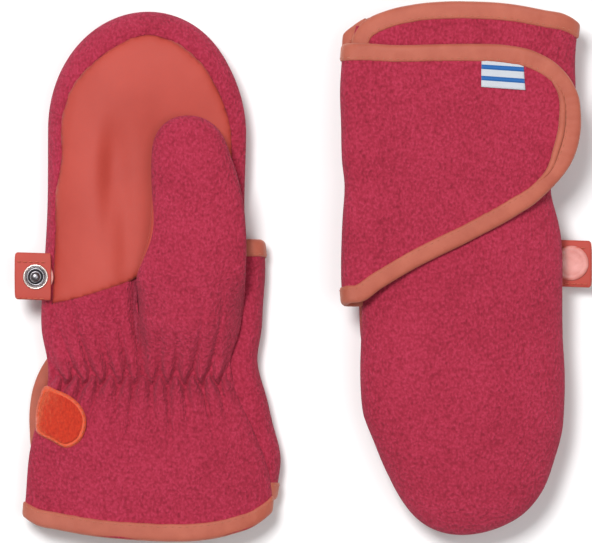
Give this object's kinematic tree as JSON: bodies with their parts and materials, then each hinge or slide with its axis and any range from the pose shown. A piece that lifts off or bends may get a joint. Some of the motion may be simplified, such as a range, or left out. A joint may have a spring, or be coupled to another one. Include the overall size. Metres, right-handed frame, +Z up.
{
  "type": "pair of wrap-cuff fleece mittens",
  "caption": "Pair of child's fleece mittens lying flat, one palm up and one palm down, each with a wrap flap over its cuff and a tab with a press fastener.",
  "frame": {"origin": "on the table, in the middle of the pair's bounding box", "axes": "+X from the right-hand mitten to the left-hand mitten, +Y towards the right-hand mitten's fingertips, +Z up"},
  "size_m": [0.2454, 0.2296, 0.0355],
  "materials": {
    "fleece": "raspberry polyester fleece, pilled, matt with a soft sheen at its edges",
    "softshell": "smooth coral softshell cloth",
    "lining": "thin brushed knit",
    "binding": "coral elastic binding tape, stitched near its edge",
    "elastic": "braided elastic",
    "loop_tape": "brushed loop tape, stitched round its edge",
    "hook_tape": "moulded hooks in rows",
    "label": "woven satin ribbon with blue bands",
    "snap_metal": "nickel-plated, worn bright on its edges",
    "cap": "translucent soft rubber, satin"
  },
  "bodies": {
    "right_mitten": {"right_back_panel": "fleece", "right_palm_patch": "softshell", "right_palm_heel": "fleece", "right_hand_lining": "lining", "right_cuff_binding": "binding", "right_wrist_elastic": "elastic", "right_loop_patch": "loop_tape"},
    "right_thumb": {"right_thumb_front": "fleece", "right_thumb_back": "softshell", "right_thumb_lining": "lining"},
    "right_flap": {"right_wrap_flap": "fleece", "right_flap_binding": "binding", "right_hook_patch": "hook_tape", "right_woven_label": "label"},
    "right_tab": {"right_tab_strap": "softshell", "right_snap_cap": "cap", "right_snap_stud": "snap_metal"},
    "left_mitten": {"left_back_panel": "fleece", "left_palm_patch": "softshell", "left_palm_heel": "fleece", "left_hand_lining": "lining", "left_cuff_binding": "binding", "left_wrist_elastic": "elastic", "left_loop_patch": "loop_tape"},
    "left_thumb": {"left_thumb_front": "fleece", "left_thumb_back": "softshell", "left_thumb_lining": "lining"},
    "left_flap": {"left_wrap_flap": "fleece", "left_flap_binding": "binding", "left_hook_patch": "hook_tape", "left_woven_label": "label"},
    "left_tab": {"left_tab_strap": "softshell", "left_snap_cap": "cap", "left_snap_socket": "snap_metal"}
  },
  "joints": [
    {"name": "pair_apart", "type": "slide", "parent": "right_mitten", "child": "left_mitten", "axis": [1, 0, 0], "range_m": [0, 0.12]},
    {"name": "right_flap_open", "type": "hinge", "parent": "right_mitten", "child": "right_flap", "pos_m": [-0.015, -0.0413, 0.0126], "axis": [0, -1, 0], "range_deg": [0, 150]},
    {"name": "right_thumb_swing", "type": "hinge", "parent": "right_mitten", "child": "right_thumb", "pos_m": [-0.0442, -0.0133, 0.0279], "axis": [0, 0, -1], "range_deg": [0, 25]},
    {"name": "right_tab_fold", "type": "hinge", "parent": "right_mitten", "child": "right_tab", "pos_m": [-0.1067, -0.0033, 0.024], "axis": [0, 1, 0], "range_deg": [0, 90]},
    {"name": "left_flap_open", "type": "hinge", "parent": "left_mitten", "child": "left_flap", "pos_m": [0.015, 0.0413, 0.02286], "axis": [0, -1, 0], "range_deg": [0, 150]},
    {"name": "left_thumb_swing", "type": "hinge", "parent": "left_mitten", "child": "left_thumb", "pos_m": [0.0442, 0.0133, 0.00756], "axis": [0, 0, -1], "range_deg": [0, 25]},
    {"name": "left_tab_fold", "type": "hinge", "parent": "left_mitten", "child": "left_tab", "pos_m": [0.1067, 0.0033, 0.01146], "axis": [0, 1, 0], "range_deg": [0, 90]}
  ]
}
